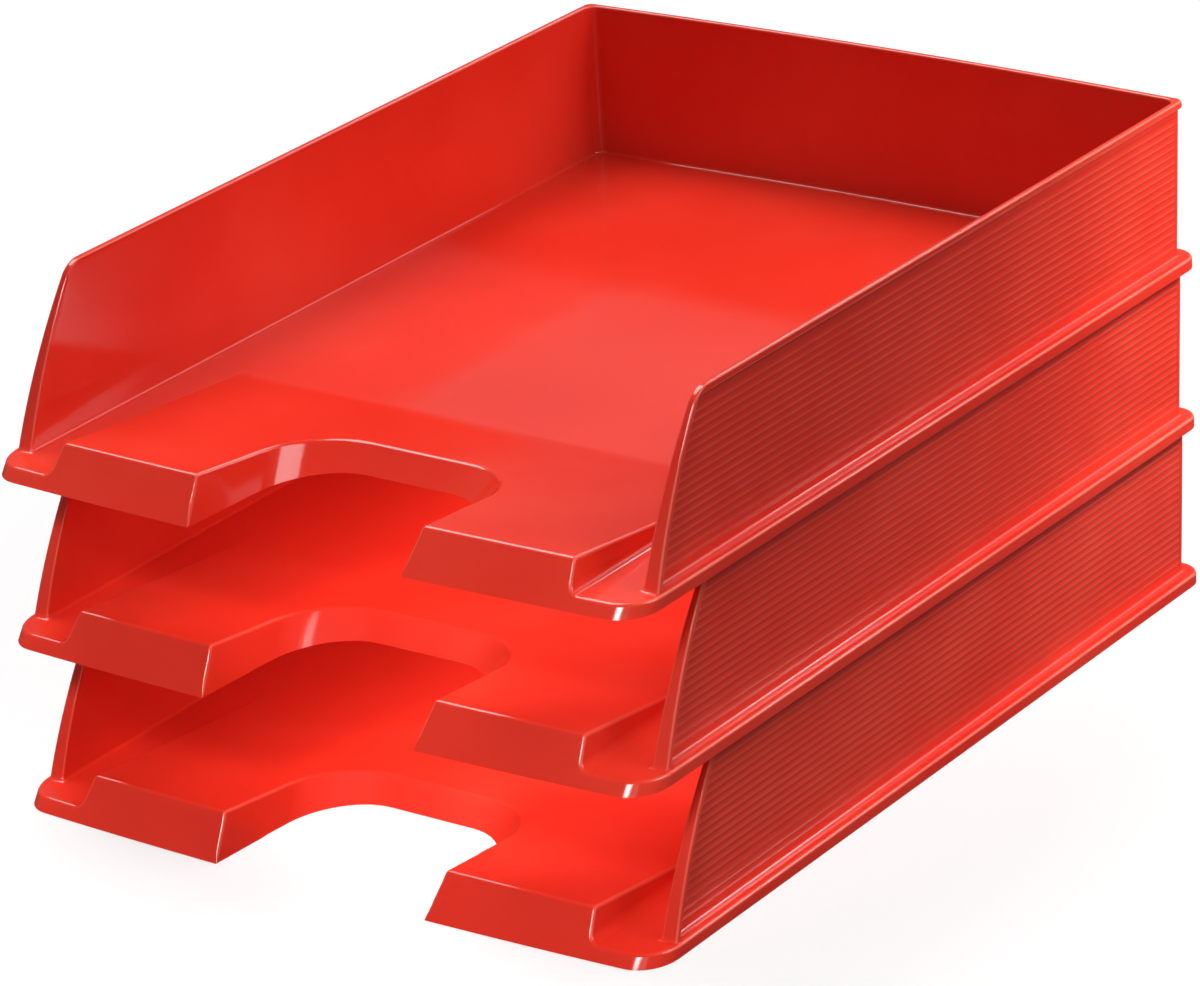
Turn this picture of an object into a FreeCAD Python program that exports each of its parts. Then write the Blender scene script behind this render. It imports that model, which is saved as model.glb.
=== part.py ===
import FreeCAD, Part
import os

# Stack of three letter trays for A4 paper, open at the front, in millimetres.
# X runs across the trays, Y from front to back, Z up; the origin is on the desk under the middle.

tray_names = ["bottom_tray", "middle_tray", "top_tray"]

tray_width = 254.0
tray_depth = 354.0
tray_height = 60.2

# Plan shape: front and back edges bow outward, the sides are straight.
front_bow = 3.8
back_bow = 4.0
flange_front_radius = 11.0
flange_back_radius = 8.0

# Flange that runs all round at the foot of the walls, level with the floor.
flange_height = 4.2
flange_round = 1.2
floor_thickness = 2.0

# Walls on three sides, flaring outward and thinner at the top; insets are from the flange's edge.
wall_foot_inset = 5.3
wall_top_inset = 4.5
wall_foot_thickness = 1.9
wall_top_thickness = 1.5
wall_corner_radius = 2.5
wall_inner_radius = 4.0
foot_slope = 0.9
foot_root = 0.6

# Frame that stands out round the outside of each wall: a bead along the top and a return down
# the raked front end, which widens toward the flange.
frame_foot_inset = 1.4
rim_inset = 3.6
rim_height = 2.6
rim_corner_radius = 3.0
return_thickness = 2.2
frame_round_share = 0.375

# Raked front ends of the side walls, with a rounded upper corner.
end_setback = 18.3
end_run = 27.1
end_bow = 2.35
end_drop = 3.7
end_corner_run = 8.4
end_corner_bow = 0.95

# Fine level grooves on the outside of the side walls.
groove_first = 6.9
groove_pitch = 2.79
groove_count = 18
groove_depth = 0.3
groove_width = 1.9
groove_gap = 0.4

# Front lip, leaning back, and the ramp that falls from it to the floor.
lip_height = 14.0
lip_lean = 9.9
lip_inset = 27.0
lip_side_draft = 2.6
lip_round = 1.0
ramp_length = 94.0

# Finger cut-out through the lip and the ramp; its wall leans outward, most of all at the back.
notch_foot_half_width = 42.0
notch_foot_taper = 4.4
notch_foot_depth = 61.7
notch_top_half_width = 44.2
notch_top_depth = 76.3
notch_radius = 20.0
notch_round = 0.7

# Seat under the flange that takes the rim of the tray below.
seat_depth = 1.2
seat_clearance = 0.5
seat_front = 44.0
recess_inset = 7.5
skirt_thickness = 2.6

# Overrun of cutting tools past the faces they open, and the slack for finding edges by place.
overrun = 10.0
slack = 0.01

half_width = tray_width / 2
lip_half_width = half_width - lip_inset
rim_half_width = half_width - rim_inset
front_y = -tray_depth / 2
front_corner_y = front_y + front_bow
back_corner_y = tray_depth / 2 - back_bow
lean_per_height = lip_lean / lip_height
ramp_fall = (lip_height - flange_height) / ramp_length
wall_rise = tray_height - flange_height
stack_pitch = tray_height - seat_depth
rim_width = wall_top_inset + wall_top_thickness - rim_inset
frame_round = rim_width * frame_round_share


def point(x, y, z):
    return FreeCAD.Vector(x, y, z)


def bowed_edge(start, finish, sag):
    """Level edge from side to side whose middle stands sag further along Y than its ends."""
    if sag == 0:
        return Part.makeLine(start, finish)
    middle = (start + finish) / 2 + point(0, sag, 0)
    return Part.Arc(start, middle, finish).toShape()


def outline(half, front, front_sag, z):
    """Closed outline at height z whose back stands as far inside the flange as its sides."""
    back = back_crest(half) - back_bow
    front_left = point(-half, front, z)
    front_right = point(half, front, z)
    back_right = point(half, back, z)
    back_left = point(-half, back, z)
    front_edge = bowed_edge(front_left, front_right, -front_sag)
    right_edge = Part.makeLine(front_right, back_right)
    back_edge = bowed_edge(back_right, back_left, back_bow)
    left_edge = Part.makeLine(back_left, front_left)
    return Part.Wire([front_edge, right_edge, back_edge, left_edge])


def back_crest(half):
    """How far back the bowed back of an outline with this half width reaches."""
    return back_corner_y - half_width + half + back_bow


def block_between(lower, upper):
    return Part.makeLoft([lower, upper], True, True)


def block_up(lower, height):
    return Part.Face(lower).extrude(point(0, 0, height))


def edges_that(shape, test):
    return [edge for edge in shape.Edges if test(edge.BoundBox)]


def at_level(box, z):
    return abs(box.ZMin - z) < slack and abs(box.ZMax - z) < slack


def rises(box):
    return box.ZLength > slack


def rises_at_back(box):
    return rises(box) and box.Center.y > 0


def rises_at_front(box):
    return rises(box) and box.Center.y < 0


def round_back_corners(block, radius):
    return block.makeFillet(radius, edges_that(block, rises_at_back))


def share_up(z):
    """How far up the walls the height z is, from 0 at the flange to 1 at the rim."""
    return (z - flange_height) / wall_rise


def between(foot, top, z):
    return foot + (top - foot) * share_up(z)


def wall_half(z):
    """Half width over the outer faces of the walls at height z."""
    return half_width - between(wall_foot_inset, wall_top_inset, z)


def cavity_half(z):
    """Half width between the inner faces of the walls at height z."""
    return wall_half(z) - between(wall_foot_thickness, wall_top_thickness, z)


def frame_half(z):
    """Half width over the frame round the walls at height z."""
    return half_width - between(frame_foot_inset, rim_inset, z)


def flange_block():
    """Block with the plan of the flange; its front face leans back and is taller than the lip."""
    top_z = lip_height + overrun
    lower = outline(half_width, front_corner_y, front_bow, 0)
    upper = outline(half_width, front_corner_y + lean_per_height * top_z, front_bow, top_z)
    block = round_back_corners(block_between(lower, upper), flange_back_radius)
    return block.makeFillet(flange_front_radius, edges_that(block, rises_at_front))


def floor_plate():
    corner = point(-half_width - overrun, front_y - overrun, 0)
    slab = Part.makeBox(tray_width + 2 * overrun, tray_depth + 2 * overrun, flange_height, corner)
    plate = flange_block().common(slab)

    def on_top(box):
        return at_level(box, flange_height)

    return plate.makeFillet(flange_round, edges_that(plate, on_top))


def ramp_top(y):
    return lip_height - (y - front_y - lip_lean) * ramp_fall


def wedge(inset, drop):
    """Wedge with the ramp's slope, drop below its top and inset from its drafted sides."""
    near_y = front_y - overrun
    far_y = front_y + lip_lean + ramp_length
    top_z = ramp_top(near_y)
    foot_half = lip_half_width + lip_side_draft - inset
    top_half = foot_half - lip_side_draft * top_z / lip_height
    foot = [point(-foot_half, near_y, 0), point(foot_half, near_y, 0)]
    foot += [point(foot_half, far_y, 0), point(-foot_half, far_y, 0)]
    top = [point(-top_half, near_y, top_z), point(top_half, near_y, top_z)]
    top += [point(top_half, far_y, top_z), point(-top_half, far_y, top_z)]
    block = block_between(Part.makePolygon(foot + foot[:1]), Part.makePolygon(top + top[:1]))
    above = [point(-half_width, near_y, top_z - drop), point(-half_width, far_y, flange_height - drop)]
    above += [point(-half_width, far_y, top_z + overrun), point(-half_width, near_y, top_z + overrun)]
    cover = Part.Face(Part.makePolygon(above + above[:1])).extrude(point(tray_width, 0, 0))
    return block.cut(cover)


def lip_and_ramp():
    body = wedge(0, 0).common(flange_block())

    def outward(box):
        along_top = box.ZMin > flange_height - slack and box.ZMax > flange_height + slack
        up_the_front = rises(box) and box.YMax < front_y + lip_lean + overrun
        return along_top or up_the_front

    return body.makeFillet(lip_round, edges_that(body, outward))


def bulged_edge(start, finish, bow):
    """Arc in a plane across X that bulges forward and up from its chord."""
    run = finish - start
    outward = point(0, -run.z, run.y)
    outward.normalize()
    return Part.Arc(start, (start + finish) / 2 + outward * bow, finish).toShape()


def front_of_ends(setback):
    """Everything in front of the raked ends of the side walls, moved back by setback."""
    left_x = -half_width - overrun
    foot_y = front_y + end_setback + setback
    shoulder_y = foot_y + end_run
    crown_y = shoulder_y + end_corner_run
    low = point(left_x, foot_y, -overrun)
    foot = point(left_x, foot_y, flange_height)
    shoulder = point(left_x, shoulder_y, tray_height - end_drop)
    crown = point(left_x, crown_y, tray_height)
    above = point(left_x, crown_y, tray_height + overrun)
    front_above = point(left_x, front_y - overrun, tray_height + overrun)
    front_low = point(left_x, front_y - overrun, -overrun)
    profile = [Part.makeLine(low, foot), bulged_edge(foot, shoulder, end_bow)]
    profile += [bulged_edge(shoulder, crown, end_corner_bow), Part.makeLine(crown, above)]
    profile += [Part.makeLine(above, front_above), Part.makeLine(front_above, front_low)]
    profile += [Part.makeLine(front_low, low)]
    face = Part.Face(Part.Wire(profile))
    return face.extrude(point(tray_width + 2 * overrun, 0, 0))


def framed_walls():
    """Walls as thick as the frame round them, cut to the raked ends, with rounded edges."""
    foot_z = floor_thickness
    top_z = tray_height + overrun
    outer = block_between(outline(frame_half(foot_z), front_y, 0, foot_z),
                          outline(frame_half(tray_height), front_y, 0, tray_height))
    outer = round_back_corners(outer, rim_corner_radius)
    body = outer.cut(cavity(foot_z, top_z, 0)).cut(front_of_ends(0))
    end_back_y = front_y + end_setback + end_run + end_corner_run

    def exposed(box):
        along_rim = at_level(box, tray_height) and box.YLength > slack
        up_the_end = rises(box) and box.YMax < end_back_y + slack and box.ZMax > flange_height + slack
        return along_rim or up_the_end

    return body.makeFillet(frame_round, edges_that(body, exposed))


def cavity(low_z, high_z, inset):
    """Space between the walls from low_z to high_z, inset from their inner faces."""
    open_y = front_y - overrun
    block = block_between(outline(cavity_half(low_z) - inset, open_y, 0, low_z),
                          outline(cavity_half(high_z) - inset, open_y, 0, high_z))
    return round_back_corners(block, wall_inner_radius - inset)


def foot_levels():
    """Heights of the foot slopes' ends, which are rooted in the flange and in the wall."""
    return flange_height - foot_root, flange_height + foot_slope + foot_root


def inner_foot():
    """Short slope between the floor and the inner faces of the walls."""
    low_z, high_z = foot_levels()
    narrow = cavity_half(flange_height) - foot_slope - foot_root
    wide = cavity_half(flange_height) + foot_root
    open_y = front_y - overrun
    hollow = block_between(outline(narrow, open_y, 0, low_z), outline(wide, open_y, 0, high_z))
    hollow = round_back_corners(hollow, wall_inner_radius)
    strip = cavity(low_z, high_z, -foot_slope - foot_root)
    return strip.cut(hollow).cut(front_of_ends(frame_round))


def outer_foot():
    """Short slope between the flange and the outer faces of the walls."""
    low_z, high_z = foot_levels()
    wide = wall_half(flange_height) + foot_slope + foot_root
    narrow = wall_half(flange_height) - foot_root
    slope = block_between(outline(wide, front_y, 0, low_z), outline(narrow, front_y, 0, high_z))
    slope = round_back_corners(slope, wall_corner_radius)
    core = cavity(low_z - overrun, high_z + overrun, -foot_root)
    return slope.cut(core).cut(front_of_ends(frame_round))


def outside_of_walls():
    """Space outside the thin walls, between the returns and below the bead."""
    low_z = floor_thickness
    high_z = tray_height - rim_height
    wide = outline(half_width + overrun, front_y, 0, low_z)
    space = block_up(wide, high_z - low_z)
    core = block_between(outline(wall_half(low_z), front_y, 0, low_z),
                         outline(wall_half(high_z), front_y, 0, high_z))
    core = round_back_corners(core, wall_corner_radius)
    return space.cut(core).cut(front_of_ends(return_thickness))


def end_y(z):
    """Where the raked front end of a side wall stands at height z."""
    share = (z - flange_height) / (wall_rise - end_drop)
    bulge_share = share * (1 - share)
    return front_y + end_setback + end_run * share - 4 * end_bow * bulge_share


def groove(z, side):
    """Level groove of triangular section; side is 1 on the right and -1 on the left."""
    start_y = end_y(z) + return_thickness + groove_gap
    finish_y = back_crest(wall_half(z)) - back_bow - wall_corner_radius - groove_gap
    inner = point(side * (wall_half(z) - groove_depth), start_y, z)
    upper = point(side * (wall_half(z) + groove_depth), start_y, z + groove_width)
    lower = point(side * (wall_half(z) + groove_depth), start_y, z - groove_width)
    section = Part.Face(Part.makePolygon([inner, upper, lower, inner]))
    return section.extrude(point(0, finish_y - start_y, 0))


def walls():
    body = framed_walls().cut(outside_of_walls())
    grooves = []
    for index in range(groove_count):
        z = groove_first + index * groove_pitch
        grooves.append(groove(z, 1))
        grooves.append(groove(z, -1))
    return body.cut(Part.makeCompound(grooves))


def notch_outline(z, margin):
    """Outline of the finger cut-out at height z, grown by margin and open past the front."""
    up_share = z / lip_height
    depth = notch_foot_depth + (notch_top_depth - notch_foot_depth) * up_share
    near_half = notch_foot_half_width + (notch_top_half_width - notch_foot_half_width) * up_share
    far_half = near_half - notch_foot_taper * (1 - up_share)
    near_y = front_y - overrun
    far_y = front_y + depth + margin
    corners = [point(-near_half - margin, near_y, z), point(near_half + margin, near_y, z)]
    corners += [point(far_half + margin, far_y, z), point(-far_half - margin, far_y, z)]
    return Part.makePolygon(corners + corners[:1])


def notch_block(margin):
    top_z = lip_height + overrun
    block = block_between(notch_outline(-overrun, margin), notch_outline(top_z, margin))

    def at_back_corner(box):
        return box.ZLength > overrun and box.YMin > front_y

    return block.makeFillet(notch_radius + margin, edges_that(block, at_back_corner))


def underside_hollow():
    """Space under the floor and the ramp, and the seat for the rim of the tray below."""
    ceiling = flange_height - floor_thickness
    recess_front = front_corner_y + skirt_thickness + lean_per_height * ceiling
    recess_half = half_width - recess_inset
    recess = block_up(outline(recess_half, recess_front, front_bow, -overrun), ceiling + overrun)
    inner_front = flange_block()
    inner_front.translate(point(0, skirt_thickness, 0))
    under_ramp = wedge(floor_thickness, floor_thickness).common(inner_front)
    seat_half = rim_half_width + seat_clearance
    seat = block_up(outline(seat_half, front_y + seat_front, 0, -overrun), seat_depth + overrun)
    seat = round_back_corners(seat, rim_corner_radius + seat_clearance)
    return recess.fuse([under_ramp, seat]).cut(notch_block(floor_thickness))


def notch_edge(box):
    """Upper edges of the finger cut-out and its edges on the front of the lip."""
    inside = max(-box.XMin, box.XMax) < notch_top_half_width + slack
    inside = inside and box.YMax < front_y + notch_top_depth
    along_top = box.ZMin > flange_height + slack
    up_the_front = rises(box) and box.YMax < front_y + lip_lean + overrun
    return inside and (along_top or up_the_front)


def tray():
    body = floor_plate().fuse([lip_and_ramp(), walls(), inner_foot(), outer_foot()])
    body = body.cut(notch_block(0))
    body = body.makeFillet(notch_round, edges_that(body, notch_edge))
    return body.cut(underside_hollow()).Solids[0]


os.makedirs("parts", exist_ok=True)
lowest = tray()
middle = lowest.optimalBoundingBox(False).Center
lowest.translate(point(-middle.x, -middle.y, 0))
for index, name in enumerate(tray_names):
    piece = lowest.copy()
    piece.translate(point(0, 0, index * stack_pitch))
    piece.exportStep("parts/" + name + ".step")
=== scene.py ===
import bpy
import bmesh
from math import cos, radians, sin, sqrt
from mathutils import Matrix, Vector


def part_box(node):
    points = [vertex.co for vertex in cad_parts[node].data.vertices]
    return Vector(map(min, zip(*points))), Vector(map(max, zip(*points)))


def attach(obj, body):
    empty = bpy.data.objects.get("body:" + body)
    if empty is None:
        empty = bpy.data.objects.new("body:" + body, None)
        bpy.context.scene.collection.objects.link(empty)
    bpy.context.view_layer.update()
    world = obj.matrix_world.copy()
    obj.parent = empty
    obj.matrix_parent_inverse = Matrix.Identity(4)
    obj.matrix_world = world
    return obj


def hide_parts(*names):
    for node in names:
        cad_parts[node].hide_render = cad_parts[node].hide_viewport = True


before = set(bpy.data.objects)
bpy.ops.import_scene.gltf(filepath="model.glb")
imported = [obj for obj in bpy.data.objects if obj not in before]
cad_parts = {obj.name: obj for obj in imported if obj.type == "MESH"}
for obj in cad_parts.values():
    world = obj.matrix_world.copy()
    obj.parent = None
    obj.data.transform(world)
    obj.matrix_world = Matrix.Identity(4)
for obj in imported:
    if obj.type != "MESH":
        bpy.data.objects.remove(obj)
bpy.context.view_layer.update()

trayLow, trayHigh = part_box("bottom_tray")
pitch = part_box("middle_tray")[0].z - trayLow.z
print("frame loaded, trays stand", round(pitch, 4), "apart")

tiny = 0.00002  # reach for finding points and edges by their place
hair = 0.0001  # the same where a little more room is needed
level = 0.1  # degrees between faces that count as one flat face
facing = 0.5  # least share of a normal for a face that looks this way
squareOn = 0.9  # the same for a face that looks straight this way


def leaveEdit():
    if bpy.context.mode != "OBJECT":
        bpy.ops.object.mode_set(mode="OBJECT")
    bpy.ops.object.select_all(action="DESELECT")


def takeUp(piece):
    leaveEdit()
    piece.select_set(True)
    bpy.context.view_layer.objects.active = piece


def startEdit(piece):
    takeUp(piece)
    bpy.ops.object.mode_set(mode="EDIT")


def near(a, b, reach=tiny):
    return abs(a - b) < reach


def along(edge, axis):
    a, b = edge.verts[0].co, edge.verts[1].co
    return all(near(a[i], b[i]) for i in range(3) if i != axis)


def middle(edge):
    return (edge.verts[0].co + edge.verts[1].co) / 2


def rises(edge):
    return not near(edge.verts[0].co.z, edge.verts[1].co.z)


def sharp(edge, degrees):  # an outward edge, turned by more than this
    return len(edge.link_faces) == 2 and edge.is_convex and edge.calc_face_angle() > radians(degrees)


def flatTop(edge):  # an edge across a flat upper face
    faces = edge.link_faces
    return len(faces) == 2 and edge.calc_face_angle() < radians(level) and faces[0].normal.z > squareOn


# selects vertices, edges or faces of the piece in hand by a test of their place
def pick(kind, test):
    bpy.ops.mesh.select_mode(type=kind)
    bpy.ops.mesh.select_all(action="DESELECT")
    mesh = bpy.context.edit_object.data
    body = bmesh.from_edit_mesh(mesh)
    body.normal_update()
    for part in {"VERT": body.verts, "EDGE": body.edges, "FACE": body.faces}[kind]:
        if test(part):
            part.select_set(True)
    bmesh.update_edit_mesh(mesh)


# moves each selected vertex to the place that a rule gives it
def reshape(rule):
    mesh = bpy.context.edit_object.data
    body = bmesh.from_edit_mesh(mesh)
    for vert in body.verts:
        if vert.select:
            vert.co = rule(vert.co)
    bmesh.update_edit_mesh(mesh)


def roundEdges(test, radius, segments):
    pick("EDGE", test)
    bpy.ops.mesh.bevel(offset=radius, segments=segments, affect="EDGES", clamp_overlap=False)


def cutAt(place, normal):
    bpy.ops.mesh.bisect(plane_co=place, plane_no=normal)


def raiseBy(height):
    bpy.ops.mesh.extrude_region_move(TRANSFORM_OT_translate={"value": (0, 0, height)})


def mergePoints():
    bpy.ops.mesh.select_all(action="SELECT")
    bpy.ops.mesh.remove_doubles(threshold=tiny / 10)


def block(name, lowCorner, highCorner):
    leaveEdit()
    bpy.ops.mesh.primitive_cube_add(size=1, location=(Vector(lowCorner) + Vector(highCorner)) / 2)
    piece = bpy.context.active_object
    piece.name = name
    piece.scale = Vector(highCorner) - Vector(lowCorner)
    bpy.ops.object.transform_apply(location=True, rotation=True, scale=True)
    startEdit(piece)
    return piece


def combine(piece, tool, how):
    takeUp(piece)
    step = piece.modifiers.new("join", "BOOLEAN")
    step.operation = how
    step.object = tool
    step.solver = "EXACT"
    bpy.ops.object.modifier_apply(modifier=step.name)
    bpy.data.objects.remove(tool, do_unlink=True)


# one tray, in metres: a bowed plate with a flange all round it
tray = {
    "frontBow": 0.0038,
    "backBow": 0.0040,
    "frontRadius": 0.011,
    "backRadius": 0.008,
    "cornerSteps": 8,
    "columns": 16,
    "floorTop": 0.0042,
    "floorThick": 0.0020,
    "edgeRound": 0.0010,
    "edgeSteps": 3,
    "edgeAngle": 35,
}
# finger cut-out in the lip, its wall leaning outward, most of all at the back
notch = {
    "footHalf": 0.0420,
    "footTaper": 0.0044,
    "footDepth": 0.0617,
    "topHalf": 0.0442,
    "topDepth": 0.0763,
    "radius": 0.020,
    "cornerSteps": 14,
    "sideCuts": (0.08, 0.16, 0.24, 0.32, 0.40),
    "overrun": 0.004,
}

halfWidth = trayHigh.x
rimTop = trayHigh.z
# the peak of the front's bow lies in the cut-out
frontY = trayLow.y - tray["frontBow"] * (notch["footHalf"] / halfWidth) ** 2
frontCorner = frontY + tray["frontBow"]
backCorner = trayHigh.y - tray["backBow"]
floorTop = tray["floorTop"]

# front lip, leaning back, and the ramp that falls from it to the floor
lip = {
    "height": 0.014,
    "lean": 0.0099,
    "footHalf": 0.1026,
    "sideDraft": 0.0026,
    "rampLength": 0.094,
    "footFillet": 0.0026,
    "footFilletShare": 0.62,
    "filletSteps": 5,
    "sideRound": 0.0011,
    "sideRoundShare": 0.3,
    "roundSteps": 3,
    "bendReach": 0.0035,
    "bendRows": (1, 0.5, 0, -0.5, -1),
    "rampRows": (0.14, 0.27, 0.62, 0.82),
}
leanSlope = lip["lean"] / lip["height"]
bendY = frontY + lip["lean"] + lip["rampLength"]
rampFall = (lip["height"] - floorTop) / lip["rampLength"]
lipSteps = lip["filletSteps"] + 1 + lip["roundSteps"]


def lipHalf(z):
    return lip["footHalf"] - lip["sideDraft"] * z / lip["height"]


def frontEdge(x):  # the flange's upper front edge
    return frontY + tray["frontBow"] * (x / halfWidth) ** 2 + leanSlope * floorTop


def rampRise(y):
    reach = lip["bendReach"]
    ahead = bendY - y
    if ahead > reach:
        return rampFall * ahead
    return rampFall * max(ahead + reach, 0) ** 2 / (4 * reach)


def frontRise(y):  # where the ramp meets the leaning front face
    return rampFall * (bendY - y) / (1 + rampFall * leanSlope)


def sidePoint(rise, step):  # up the ramp's side: fillet, drafted face, rounded edge
    fillet = min(lip["footFillet"], lip["footFilletShare"] * rise)
    rounding = min(lip["sideRound"], lip["sideRoundShare"] * rise)
    if step <= lip["filletSteps"]:
        angle = radians(90) * step / lip["filletSteps"]
        z = floorTop + fillet * (1 - cos(angle))
        return lipHalf(z) + fillet * (1 - sin(angle)), z
    angle = radians(90) * (step - lip["filletSteps"] - 1) / lip["roundSteps"]
    z = floorTop + rise - rounding * (1 - sin(angle))
    return lipHalf(z) - rounding * (1 - cos(angle)), z


def bowEdges(y, bow):
    pick("VERT", lambda v: near(v.co.x, 0) and near(v.co.y, y))
    bpy.ops.transform.translate(value=(0, bow, 0), use_proportional_edit=True, proportional_size=halfWidth,
                                proportional_edit_falloff="INVERSE_SQUARE")


def bowedBlock(name, half, front, back, bottom, top):
    piece = block(name, (-half, front, bottom), (half, back, top))
    pick("EDGE", lambda e: along(e, 0))
    bpy.ops.mesh.subdivide(number_cuts=tray["columns"] - 1)
    bowEdges(front, -tray["frontBow"])
    bowEdges(back, tray["backBow"])
    return piece


def floorPlate():
    piece = bowedBlock("trayFloor", halfWidth, frontCorner, backCorner, 0, floorTop)
    pick("VERT", lambda v: v.co.y < frontCorner + hair and v.co.z > floorTop / 2)
    bpy.ops.transform.translate(value=(0, leanSlope * floorTop, 0))

    def atCorner(edge, side):
        return rises(edge) and near(abs(middle(edge).x), halfWidth) and middle(edge).y * side > 0

    roundEdges(lambda e: atCorner(e, -1), tray["frontRadius"], tray["cornerSteps"])
    roundEdges(lambda e: atCorner(e, 1), tray["backRadius"], tray["cornerSteps"])
    return piece


def raiseLip():
    edgeX = lipHalf(floorTop)
    tall = lip["height"]
    rows = [bendY + lip["bendReach"] * share for share in lip["bendRows"]]
    rows += [bendY - lip["rampLength"] * share for share in lip["rampRows"]]

    def onTop(face):
        return face.normal.z > squareOn and near(face.calc_center_median().z, floorTop)

    def inLip(face):
        return onTop(face) and abs(face.calc_center_median().x) < edgeX

    for x in (-edgeX, edgeX):
        pick("FACE", onTop)
        cutAt((x, 0, 0), (1, 0, 0))
    for y in rows:
        pick("FACE", inLip)
        cutAt((0, y, 0), (0, 1, 0))
    pick("FACE", lambda f: inLip(f) and f.calc_center_median().y < rows[0])
    raiseBy(tall)
    pick("EDGE", lambda e: along(e, 2) and near(abs(middle(e).x), edgeX) and middle(e).z > floorTop)
    bpy.ops.mesh.subdivide(number_cuts=lipSteps - 1)

    def inLoft(vert):
        x, y, z = vert.co
        return abs(x) < edgeX + hair and y < rows[0] + hair and z > floorTop - hair

    def lofted(place):
        step = round((place.z - floorTop) / tall * lipSteps)
        onSide = near(abs(place.x), edgeX)
        if step == 0 and not onSide:
            return place
        atFront = place.y < frontEdge(place.x) + hair
        rise = frontRise(place.y) if atFront else rampRise(place.y)
        x, y, z = place.x, place.y, floorTop + rise
        if onSide:
            x, z = sidePoint(rise, step)
            x = x if place.x > 0 else -x
        if atFront:
            y = frontEdge(x) + leanSlope * (z - floorTop)
        return Vector((x, y, z))

    def acrossRamp(edge):
        return near(edge.verts[0].co.x, edge.verts[1].co.x) and flatTop(edge) and middle(edge).y < rows[0]

    pick("VERT", inLoft)
    reshape(lofted)
    mergePoints()
    pick("EDGE", acrossRamp)
    bpy.ops.mesh.dissolve_edges(use_verts=True)


def notchTool(margin):  # its block gets its width and depth from tapered
    start = frontY - notch["overrun"]
    piece = block("notchTool", (-1, start, -notch["overrun"]), (1, 0, lip["height"] + notch["overrun"]))
    for share in notch["sideCuts"]:
        bpy.ops.mesh.select_all(action="SELECT")
        cutAt((0, start * (1 - share), 0), (0, 1, 0))
    bpy.ops.mesh.select_all(action="SELECT")

    def tapered(place):
        up = place.z / lip["height"]
        back = 1 - place.y / start
        depth = notch["footDepth"] + (notch["topDepth"] - notch["footDepth"]) * up + margin
        half = notch["footHalf"] + (notch["topHalf"] - notch["footHalf"]) * up + margin
        half -= notch["footTaper"] * (1 - up) * back
        return Vector((half if place.x > 0 else -half, start + (frontY + depth - start) * back, place.z))

    reshape(tapered)
    roundEdges(lambda e: rises(e) and middle(e).y > frontY + notch["footDepth"] / 2,
               notch["radius"] + margin, notch["cornerSteps"])
    return piece


# hollow underside, with a seat for the rim of the tray below
under = {
    "recessInset": 0.0075,
    "skirt": 0.0026,
    "seatDepth": 0.0012,
    "seatInset": 0.0031,
    "seatFront": 0.0478,
    "seatRadius": 0.0035,
    "cornerSteps": 4,
    "overrun": 0.004,
}


def wedgeTool(bottom, ceiling):  # the space under the ramp
    piece = block("wedgeTool", (-halfWidth, frontCorner, bottom), (halfWidth, bendY, ceiling))
    pick("EDGE", lambda e: along(e, 0))
    bpy.ops.mesh.subdivide(number_cuts=tray["columns"] - 1)
    bowEdges(frontCorner, -tray["frontBow"])
    bpy.ops.mesh.select_all(action="SELECT")

    def sloped(place):
        y, z = place.y, place.z
        if y < frontCorner + hair:
            y += under["skirt"]
            if z > 0:
                z = ceiling + frontRise(y + leanSlope * ceiling)
            y += leanSlope * z
        return Vector((place.x * (lipHalf(z) - tray["floorThick"]) / halfWidth, y, z))

    reshape(sloped)
    return piece


def underTool():
    bottom = -under["overrun"]
    ceiling = floorTop - tray["floorThick"]
    recess = bowedBlock("recessTool", halfWidth - under["recessInset"],
                        frontCorner + under["skirt"] + leanSlope * ceiling,
                        backCorner - under["recessInset"], bottom, ceiling)
    wedge = wedgeTool(bottom, ceiling)
    seat = bowedBlock("seatTool", halfWidth - under["seatInset"], frontY + under["seatFront"],
                      backCorner - under["seatInset"], bottom, under["seatDepth"])
    seatHalf = halfWidth - under["seatInset"]
    roundEdges(lambda e: along(e, 2) and near(abs(middle(e).x), seatHalf) and middle(e).y > 0,
               under["seatRadius"], under["cornerSteps"])
    combine(recess, wedge, "UNION")
    combine(recess, seat, "UNION")
    combine(recess, notchTool(tray["floorThick"]), "DIFFERENCE")
    return recess


def trayFloor():
    piece = floorPlate()
    raiseLip()
    combine(piece, notchTool(0), "DIFFERENCE")
    startEdit(piece)
    mergePoints()
    roundEdges(lambda e: sharp(e, tray["edgeAngle"]) and middle(e).z > floorTop / 2,
               tray["edgeRound"], tray["edgeSteps"])
    combine(piece, underTool(), "DIFFERENCE")
    return piece


# walls on three sides, flaring a little outward, with a bead along the top
wall = {
    "footInset": 0.0053,
    "topInset": 0.0045,
    "footThick": 0.0019,
    "topThick": 0.0015,
    "outerRadius": 0.0026,
    "innerRadius": 0.0040,
    "cornerSteps": 6,
    "footFillet": 0.0012,
    "filletShares": (-0.10, 0.08, 0.30, 0.60, 1.0),
    "sunk": 0.0012,
    "rimHeight": 0.0026,
    "edgeRound": 0.0008,
    "edgeSteps": 3,
    "edgeAngle": 50,
    "beadFootInset": 0.0014,
    "beadTopInset": 0.0036,
    "beadRound": 0.0004,
    "beadSteps": 2,
    "returnThick": 0.0022,
    "reach": 0.010,
}

# raked front ends of the side walls, with a rounded upper corner
rake = {
    "setback": 0.0183,
    "run": 0.0271,
    "bow": 0.00235,
    "drop": 0.0037,
    "cornerRun": 0.0084,
    "cornerBow": 0.00095,
    "cornerCuts": (0.0021, 0.0016, 0.0011, 0.0006, 0.0003),
}

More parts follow.
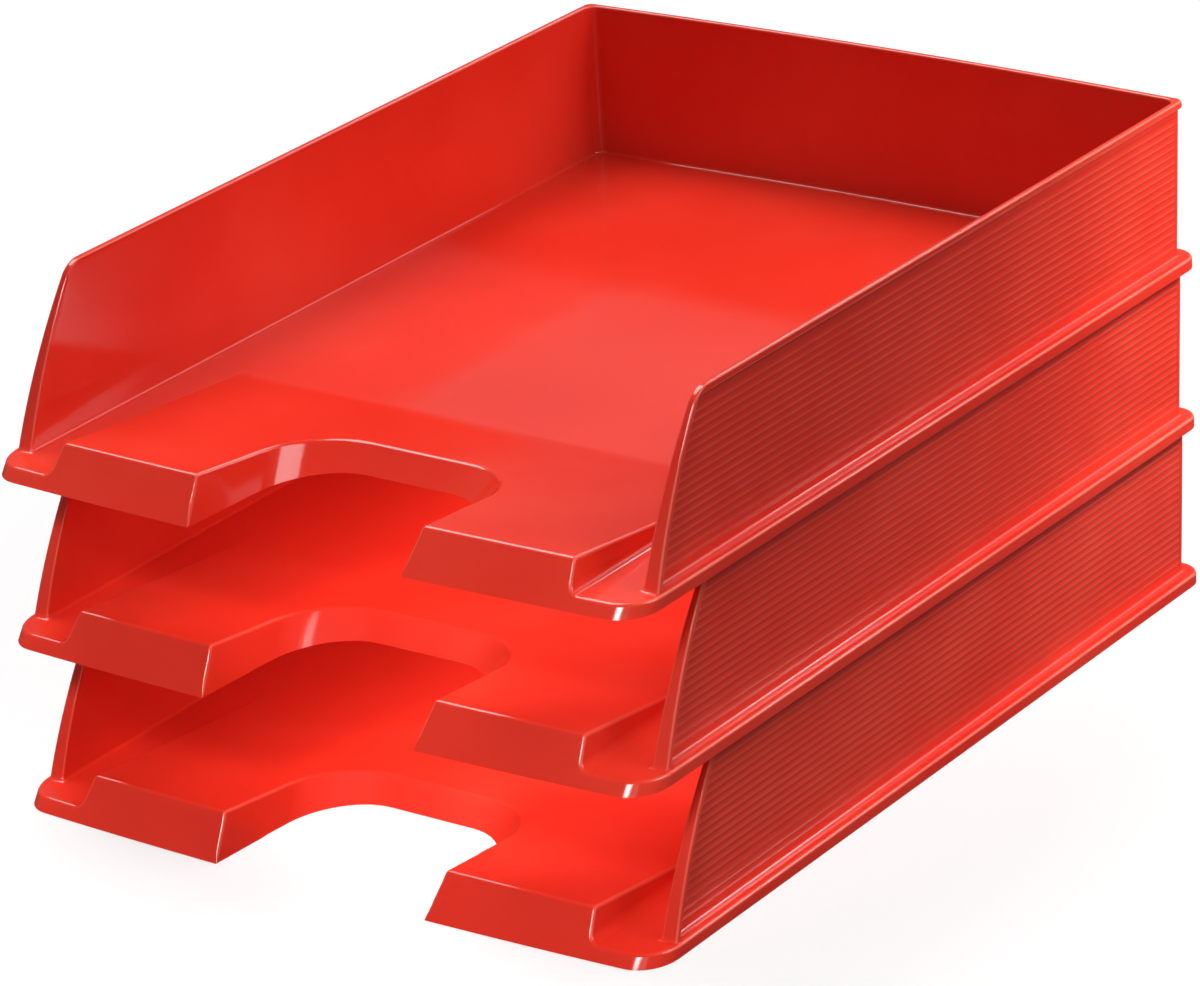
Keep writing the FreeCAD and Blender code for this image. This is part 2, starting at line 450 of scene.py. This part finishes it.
# level ribs pressed into the outside of the side walls
rib = {
    "pitch": 0.00279,
    "depth": 0.0003,
    "count": 18,
    "rowsEach": 4,
    "rowShares": (0, 0.5, 1, 0.5),
    "stop": 0.0012,
    "fade": 0.0009,
}
endY = frontY + rake["setback"]
returnY = endY + wall["returnThick"]
wallLow = floorTop + wall["footFillet"]
wallHigh = rimTop - wall["rimHeight"]
wallMiddle = wall["footInset"] + wall["footThick"] / 2
ribRows = round((wallHigh - wallLow) / rib["pitch"] * rib["rowsEach"])
ribStop = backCorner - wall["footInset"] - wall["outerRadius"] - rib["stop"]


def between(foot, top, z):
    return foot + (top - foot) * (z - floorTop) / (rimTop - floorTop)


def outerHalf(z):
    return halfWidth - between(wall["footInset"], wall["topInset"], z)


def innerHalf(z):
    return outerHalf(z) - between(wall["footThick"], wall["topThick"], z)


def beadHalf(z):
    return halfWidth - between(wall["beadFootInset"], wall["beadTopInset"], z)


def footFlare(z):  # how far the fillet at the wall's foot stands out at this height
    radius = wall["footFillet"]
    rise = min(max(z - floorTop, 0), radius)
    return radius - sqrt(radius ** 2 - (radius - rise) ** 2)


def sideGap(place):
    return halfWidth - abs(place.x)


def backGap(place):
    return backCorner + tray["backBow"] * (1 - (place.x / halfWidth) ** 2) - place.y


def isOuter(place):
    return min(sideGap(place), backGap(place)) < wallMiddle


def isCorner(place):
    return max(sideGap(place), backGap(place)) < wall["reach"]


def shifted(place, outward, forward):
    x, y = place.x, place.y
    if sideGap(place) < wall["reach"]:
        x += outward if x > 0 else -outward
    if backGap(place) < wall["reach"]:
        y += outward
    return Vector((x, y - forward, place.z))


def spread(outerShift, innerShift, endShift):  # widens the selected ring of the walls
    def widened(place):
        atEnd = place.y < endY + wall["returnThick"] / 2
        return shifted(place, outerShift if isOuter(place) else innerShift, endShift if atEnd else 0)

    reshape(widened)


def wallRing():
    leaveEdit()
    place = (0, (frontCorner + backCorner) / 2, floorTop - wall["sunk"])
    bpy.ops.mesh.primitive_plane_add(size=1, location=place)
    piece = bpy.context.active_object
    piece.name = "trayWalls"
    piece.scale = (2 * halfWidth, backCorner - frontCorner, 1)
    bpy.ops.object.transform_apply(location=True, rotation=True, scale=True)
    startEdit(piece)
    pick("EDGE", lambda e: along(e, 0))
    bpy.ops.mesh.subdivide(number_cuts=tray["columns"] - 1)
    bowEdges(backCorner, tray["backBow"])
    pick("FACE", lambda f: True)
    bpy.ops.mesh.inset(thickness=wall["footInset"])
    bpy.ops.mesh.select_all(action="INVERT")
    bpy.ops.mesh.delete(type="FACE")
    pick("FACE", lambda f: True)
    bpy.ops.mesh.inset(thickness=wall["footThick"])
    bpy.ops.mesh.delete(type="FACE")
    bpy.ops.mesh.select_all(action="SELECT")
    bpy.ops.mesh.bisect(plane_co=(0, endY, 0), plane_no=(0, 1, 0), clear_inner=True)
    bpy.ops.mesh.select_all(action="SELECT")
    cutAt((0, returnY, 0), (0, 1, 0))
    return piece


def raiseWalls():
    z = floorTop - wall["sunk"]
    steps = [floorTop + share * wall["footFillet"] for share in wall["filletShares"]]
    pick("FACE", lambda f: True)
    spread(footFlare(z), -footFlare(z), footFlare(z))
    for top in steps + [wallHigh, rimTop]:
        raiseBy(top - z)
        flare = footFlare(top) - footFlare(z)
        spread(outerHalf(top) - outerHalf(z) + flare, innerHalf(top) - innerHalf(z) - flare, flare)
        z = top


def facesOut(face):
    center = face.calc_center_median()
    fromSide = abs(face.normal.x) > facing and face.normal.x * center.x > 0
    fromBack = face.normal.y > facing and center.y > 0
    return isOuter(center) and (fromSide or fromBack)


def raiseBead():  # the bead along the top and the return down each front end, as one region
    def inBead(face):
        center = face.calc_center_median()
        return facesOut(face) and (center.z > wallHigh or center.y < returnY)

    def stoodOut(place):
        return shifted(place, beadHalf(place.z) - outerHalf(place.z) - footFlare(place.z), 0)

    pick("FACE", inBead)
    raiseBy(0)
    reshape(stoodOut)


def pastMiddle(place):  # on the outer half of the leaning wall
    core = halfWidth - (outerHalf(place.z) + innerHalf(place.z)) / 2
    return min(sideGap(place), backGap(place)) < core


def roundWalls():
    def innerCorner(edge):
        return rises(edge) and all(isCorner(v.co) and not pastMiddle(v.co) for v in edge.verts)

    def outerCorner(edge):
        return all(isCorner(v.co) and pastMiddle(v.co) for v in edge.verts)

    def onRimTop(edge):
        return all(near(v.co.z, rimTop) for v in edge.verts) and not sharp(edge, wall["edgeAngle"])

    def rimOrEnd(edge):
        ends = all(near(v.co.y, endY - footFlare(v.co.z)) for v in edge.verts)
        onRim = all(near(v.co.z, rimTop) for v in edge.verts)
        return sharp(edge, wall["edgeAngle"]) and (rises(edge) if ends else onRim)

    def beadEdge(edge):
        below = all(near(v.co.z, wallHigh) for v in edge.verts) and middle(edge).y > returnY
        atReturn = all(near(v.co.y, returnY) and v.co.z < wallHigh + hair for v in edge.verts)
        return sharp(edge, wall["edgeAngle"]) and (below or atReturn and rises(edge))

    roundEdges(innerCorner, wall["innerRadius"], wall["cornerSteps"])
    roundEdges(outerCorner, wall["outerRadius"], wall["cornerSteps"])
    pick("EDGE", onRimTop)  # the rim's top as one face, so its rounding stays even at the corners
    bpy.ops.mesh.dissolve_edges(use_verts=False)
    roundEdges(rimOrEnd, wall["edgeRound"], wall["edgeSteps"])
    roundEdges(beadEdge, wall["beadRound"], wall["beadSteps"])


def pressRibs():
    row = (wallHigh - wallLow) / ribRows

    def ribFace(face):
        center = face.calc_center_median()
        onSide = facesOut(face) and abs(face.normal.x) > squareOn
        return onSide and wallLow < center.z < wallHigh and center.y > returnY

    def ribPoint(vert):
        place = vert.co
        onWall = near(abs(place.x), outerHalf(place.z))
        return onWall and returnY - hair < place.y < ribStop + hair and wallLow < place.z < wallHigh

    def pressed(place):
        step = round((place.z - wallLow) / row)
        depth = rib["depth"] * rib["rowShares"][step % rib["rowsEach"]]
        if step > rib["count"] * rib["rowsEach"]:
            depth = 0
        return Vector((place.x - (depth if place.x > 0 else -depth), place.y, place.z))

    for y in (ribStop, ribStop + rib["fade"]):
        pick("FACE", ribFace)
        cutAt((0, y, 0), (0, 1, 0))
    pick("VERT", ribPoint)
    reshape(pressed)


def rakeShift(z):
    shoulder = rimTop - rake["drop"]
    if z < shoulder:
        share = max(z - floorTop, 0) / (shoulder - floorTop)
        return rake["run"] * share - 4 * rake["bow"] * share * (1 - share)
    run, drop = rake["cornerRun"], rake["drop"]
    chord = sqrt(run ** 2 + drop ** 2)
    lift = 4 * rake["cornerBow"] * run / chord
    slope = drop + lift
    share = (slope - sqrt(max(slope ** 2 - 4 * lift * (z - shoulder), 0))) / (2 * lift)
    return rake["run"] + run * share - 4 * rake["cornerBow"] * drop / chord * share * (1 - share)


def rakeEnds():
    for cut in rake["cornerCuts"]:
        pick("FACE", lambda f: f.calc_center_median().y < returnY + hair)
        cutAt((0, 0, rimTop - cut), (0, 0, 1))
    pick("VERT", lambda v: v.co.y < returnY + wall["beadRound"] + hair)
    reshape(lambda place: place + Vector((0, rakeShift(place.z), 0)))


def clearRows():  # rows of the ribs that run on over plain faces
    def plainRow(edge):
        atCorner = isCorner(middle(edge)) and pastMiddle(middle(edge))
        if len(edge.link_faces) != 2 or rises(edge) or atCorner:
            return False
        face = edge.link_faces[0]
        ribbed = abs(face.normal.x) > squareOn and facesOut(face)
        return not ribbed and abs(face.normal.z) < facing and edge.calc_face_angle() < radians(level)

    pick("EDGE", plainRow)
    bpy.ops.mesh.dissolve_edges(use_verts=True)


def trayWalls():
    piece = wallRing()
    raiseWalls()
    raiseBead()
    pick("EDGE", lambda e: abs(e.verts[0].co.z - e.verts[1].co.z) > (wallHigh - wallLow) / 2)
    bpy.ops.mesh.subdivide(number_cuts=ribRows - 1)
    roundWalls()
    pressRibs()
    rakeEnds()
    clearRows()
    bpy.ops.mesh.select_all(action="SELECT")
    bpy.ops.mesh.normals_make_consistent(inside=False)
    return piece


# shading of one finished tray, and how strongly each outward edge gets a painted highlight
finish = {
    "smoothAngle": 40,
    "highlightStart": 18,
    "highlightFull": 30,
    "highlightWidth": 0.0015,
}


def smoothTray(piece):
    takeUp(piece)
    bpy.ops.object.shade_smooth_by_angle(angle=radians(finish["smoothAngle"]))
    even = piece.modifiers.new("evenShade", "WEIGHTED_NORMAL")
    even.keep_sharp = True
    bpy.ops.object.modifier_apply(modifier=even.name)


def isWide(face):
    return face.calc_area() > finish["highlightWidth"] * max(edge.calc_length() for edge in face.edges)


# only narrow faces get the painted highlight, so the paler red stays on the rounded edges
def paintEdgeHighlights(piece):
    highlight = piece.data.attributes.new("edgeHighlight", "FLOAT", "POINT")
    start, full = radians(finish["highlightStart"]), radians(finish["highlightFull"])
    body = bmesh.new()
    body.from_mesh(piece.data)
    body.normal_update()
    for vert in body.verts:
        if not any(isWide(face) for face in vert.link_faces):
            turn = max([edge.calc_face_angle(0) for edge in vert.link_edges if edge.is_convex], default=0)
            highlight.data[vert.index].value = min(max((turn - start) / (full - start), 0), 1)
    body.free()


def wholeTray():
    piece = trayFloor()
    print("floor, lip and cut-out modelled")
    combine(piece, trayWalls(), "UNION")
    print("walls joined:", len(piece.data.polygons), "faces")
    paintEdgeHighlights(piece)
    smoothTray(piece)
    return piece


def copyTray(first, name, rise):
    piece = bpy.data.objects.new(name, first.data.copy())
    bpy.context.scene.collection.objects.link(piece)
    piece.data.transform(Matrix.Translation((0, 0, rise)))
    return piece


first = wholeTray()
first.name = "bottomTray"
trays = {"bottom": first}
for step, body in enumerate(("middle", "top"), 1):
    trays[body] = copyTray(first, body + "Tray", step * pitch)
for body, piece in trays.items():
    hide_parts(body + "_tray")
    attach(piece, body)
print("trays stacked:", [piece.name for piece in trays.values()])

# moulded red plastic, shared by the three trays
plastic = {
    "red": (0.80, 0.034, 0.017, 1),
    "paleRed": (0.86, 0.058, 0.031, 1),
    "deepRed": (0.72, 0.025, 0.012, 1),
    # a paler red painted along the rounded edges as a highlight
    "highlightRed": (0.95, 0.20, 0.13, 1),
    "toneStops": (0.2, 0.5, 0.8),
    "flowSize": 9,
    "flowDetail": 3,
    "hazeSize": 36,
    "hazeDetail": 5,
    "hazeRange": (0.3, 0.7),
    "grainSize": 1400,
    "grainDetail": 2,
    "grainDepth": 0.00002,
    "grainStrength": 0.15,
    "polish": 0.10,
    "dull": 0.16,
    "rubDull": 0.06,
    "ior": 1.49,
}


def noiseNode(nodes, links, place, size, detail):
    noise = nodes.new("ShaderNodeTexNoise")
    noise.inputs["Scale"].default_value = size
    noise.inputs["Detail"].default_value = detail
    links.new(place, noise.inputs["Vector"])
    return noise


def mathNode(nodes, links, operation, first, second, third=0):
    node = nodes.new("ShaderNodeMath")
    node.operation = operation
    for socket, value in zip(node.inputs, (first, second, third)):
        if isinstance(value, bpy.types.NodeSocket):
            links.new(value, socket)
        else:
            socket.default_value = value
    return node.outputs["Value"]


# slow drift of the melt's colour and gloss over a moulding
def flowGroup():
    group = bpy.data.node_groups.new("meltFlow", "ShaderNodeTree")
    group.interface.new_socket("Place", in_out="INPUT", socket_type="NodeSocketVector")
    group.interface.new_socket("Tone", in_out="OUTPUT", socket_type="NodeSocketFloat")
    group.interface.new_socket("Haze", in_out="OUTPUT", socket_type="NodeSocketFloat")
    nodes, links = group.nodes, group.links
    entry = nodes.new("NodeGroupInput")
    leave = nodes.new("NodeGroupOutput")
    tone = noiseNode(nodes, links, entry.outputs["Place"], plastic["flowSize"], plastic["flowDetail"])
    haze = noiseNode(nodes, links, entry.outputs["Place"], plastic["hazeSize"], plastic["hazeDetail"])
    links.new(tone.outputs["Fac"], leave.inputs["Tone"])
    links.new(haze.outputs["Fac"], leave.inputs["Haze"])
    return group


def redPlastic():
    material = bpy.data.materials.new("redPlastic")
    material.use_nodes = True
    nodes, links = material.node_tree.nodes, material.node_tree.links
    shader = nodes["Principled BSDF"]
    shader.inputs["IOR"].default_value = plastic["ior"]
    place = nodes.new("ShaderNodeTexCoord")
    flow = nodes.new("ShaderNodeGroup")
    flow.node_tree = flowGroup()
    links.new(place.outputs["Object"], flow.inputs["Place"])
    highlight = nodes.new("ShaderNodeAttribute")
    highlight.attribute_name = "edgeHighlight"

    tint = nodes.new("ShaderNodeValToRGB")
    stops = tint.color_ramp.elements
    stops.new(plastic["toneStops"][1])
    for stop, position, colour in zip(stops, plastic["toneStops"], ("deepRed", "red", "paleRed")):
        stop.position = position
        stop.color = plastic[colour]
    links.new(flow.outputs["Tone"], tint.inputs["Fac"])
    # painted highlight: paler red mixed in along the rounded edges, which also dulls their gloss a little
    highlightMask = mathNode(nodes, links, "MULTIPLY", highlight.outputs["Fac"], flow.outputs["Haze"])
    colour = nodes.new("ShaderNodeMixRGB")
    links.new(highlightMask, colour.inputs["Fac"])
    links.new(tint.outputs["Color"], colour.inputs["Color1"])
    colour.inputs["Color2"].default_value = plastic["highlightRed"]
    links.new(colour.outputs["Color"], shader.inputs["Base Color"])

    gloss = nodes.new("ShaderNodeMapRange")
    gloss.inputs["From Min"].default_value, gloss.inputs["From Max"].default_value = plastic["hazeRange"]
    gloss.inputs["To Min"].default_value = plastic["polish"]
    gloss.inputs["To Max"].default_value = plastic["dull"]
    links.new(flow.outputs["Haze"], gloss.inputs["Value"])
    dulled = mathNode(nodes, links, "MULTIPLY_ADD", highlightMask, plastic["rubDull"], gloss.outputs["Result"])
    links.new(dulled, shader.inputs["Roughness"])

    grain = noiseNode(nodes, links, place.outputs["Object"], plastic["grainSize"], plastic["grainDetail"])
    bump = nodes.new("ShaderNodeBump")
    bump.inputs["Strength"].default_value = plastic["grainStrength"]
    bump.inputs["Distance"].default_value = plastic["grainDepth"]
    links.new(grain.outputs["Fac"], bump.inputs["Height"])
    links.new(bump.outputs["Normal"], shader.inputs["Normal"])
    return material


red = redPlastic()
for piece in trays.values():
    piece.data.materials.clear()
    piece.data.materials.append(red)
print("plastic painted")

# white studio with soft boxes; the front one is gridded so that it stays off the back wall
studio = {
    "floorSize": 14,
    "floorDrop": 0.0002,
    "floorSeen": 0.93,
    "floorDark": 0.08,
    "floorGlow": 0.55,
    "floorRough": 0.9,
    "airLight": 0.13,
    "boxes": {
        "leftBox": {"place": (-1.0, 0.5, 1.9), "aim": (0, 0, 0.1), "size": (1.2, 1.2), "spread": 180,
                    "power": 31.5},
        "rightBox": {"place": (1.5, 0.5, 1.6), "aim": (0, 0, 0.1), "size": (1, 1), "spread": 180,
                     "power": 18.5},
        "backBox": {"place": (0.8, 1.6, 1.3), "aim": (0, 0, 0.1), "size": (0.9, 0.9), "spread": 180,
                    "power": 5},
        "edgeBox": {"place": (-0.38, 1.44, 1.28), "aim": (0, 0, 0.1), "size": (0.3, 0.3), "spread": 180,
                    "power": 3},
        "endBox": {"place": (0.3, 0.27, 0.3), "aim": (0.12, 0.16, 0.08), "size": (0.1, 0.1), "spread": 70,
                   "power": 0.17},
        "frontBox": {"place": (0.18, -1.05, 0.82), "aim": (0, -0.26, 0.02), "size": (0.8, 0.36),
                     "spread": 22, "power": 0.6},
        "fillBox": {"place": (1.15, -1.65, 1.0), "aim": (0, -0.05, 0.1), "size": (0.7, 0.7), "spread": 180,
                    "power": 2},
        "ceilingBox": {"place": (-0.5, 1.2, 0.82), "aim": (-0.5, 1.2, 0), "size": (1.33, 0.75), "spread": 180,
                       "power": 0.7},
    },
    # thin panels under the two upper floors, which keep the lower trays from going dark inside
    "panelDrop": 0.002,
    "panel": {"middle": (0.01, -0.02), "size": (0.15, 0.26), "spread": 180, "power": 0.17},
}


def seenByCamera(nodes, links, unseen, seen):
    path = nodes.new("ShaderNodeLightPath")
    amount = nodes.new("ShaderNodeMapRange")
    amount.inputs["To Min"].default_value = unseen
    amount.inputs["To Max"].default_value = seen
    links.new(path.outputs["Is Camera Ray"], amount.inputs["Value"])
    return amount.outputs["Result"]


def studioFloor():
    leaveEdit()
    bpy.ops.mesh.primitive_plane_add(size=studio["floorSize"], location=(0, 0, -studio["floorDrop"]))
    floor = bpy.context.active_object
    floor.name = "studioFloor"
    bpy.ops.object.transform_apply(location=True, rotation=True, scale=True)
    material = bpy.data.materials.new("studioWhite")
    material.use_nodes = True
    nodes, links = material.node_tree.nodes, material.node_tree.links
    shader = nodes["Principled BSDF"]
    shader.inputs["Roughness"].default_value = studio["floorRough"]
    shader.inputs["Specular IOR Level"].default_value = 0
    tone = seenByCamera(nodes, links, studio["floorDark"], studio["floorSeen"])
    links.new(tone, shader.inputs["Base Color"])
    glow = nodes.new("ShaderNodeEmission")
    mix = nodes.new("ShaderNodeMixShader")
    links.new(seenByCamera(nodes, links, 0, studio["floorGlow"]), mix.inputs[0])
    links.new(shader.outputs[0], mix.inputs[1])
    links.new(glow.outputs[0], mix.inputs[2])
    links.new(mix.outputs[0], nodes["Material Output"].inputs["Surface"])
    floor.data.materials.append(material)


def studioAir():
    world = bpy.data.worlds.new("studioAir")
    world.use_nodes = True
    nodes, links = world.node_tree.nodes, world.node_tree.links
    sky = nodes["Background"]
    sky.inputs["Color"].default_value = (1, 1, 1, 1)
    links.new(seenByCamera(nodes, links, studio["airLight"], 1), sky.inputs["Strength"])
    bpy.context.scene.world = world


def softBox(name, box):
    data = bpy.data.lights.new(name, "AREA")
    data.shape = "RECTANGLE"
    data.size, data.size_y = box["size"]
    data.spread = radians(box["spread"])
    data.energy = box["power"]
    lamp = bpy.data.objects.new(name, data)
    bpy.context.scene.collection.objects.link(lamp)
    lamp.location = box["place"]
    lamp.rotation_euler = (Vector(box["aim"]) - Vector(box["place"])).to_track_quat("-Z", "Y").to_euler()
    lamp.visible_camera = False
    return lamp


def gapPanel(name, height):
    panel = studio["panel"]
    across, deep = panel["middle"]
    lamp = softBox(name, {**panel, "place": (across, deep, height), "aim": (across, deep, 0)})
    lamp.visible_glossy = False


studioFloor()
studioAir()
for name, box in studio["boxes"].items():
    softBox(name, box)
for step, name in enumerate(("lowPanel", "middlePanel"), 1):
    gapPanel(name, step * pitch - studio["panelDrop"])
print("studio lit")

# camera at the photograph's angle, far enough to take in the whole stack
lens = {
    "place": (1.0551, -1.4772, 0.8259),
    "yaw": 35.75,
    "pitch": 22.54,
    "roll": -3.19,
    "focalPixels": 5837,
    "imageWidth": 1200,
    "farthest": 50,
}
cameraData = bpy.data.cameras.new("photoCamera")
camera = bpy.data.objects.new("photoCamera", cameraData)
bpy.context.scene.collection.objects.link(camera)
cameraData.lens = lens["focalPixels"] / lens["imageWidth"] * cameraData.sensor_width
cameraData.clip_end = lens["farthest"]
turn = Matrix.Rotation(radians(lens["yaw"]), 4, "Z")
tilt = Matrix.Rotation(radians(90 - lens["pitch"]), 4, "X")
roll = Matrix.Rotation(radians(lens["roll"]), 4, "Z")
camera.matrix_world = Matrix.Translation(lens["place"]) @ turn @ tilt @ roll
bpy.context.scene.camera = camera
bpy.context.scene.view_settings.view_transform = "Standard"
print("camera set")
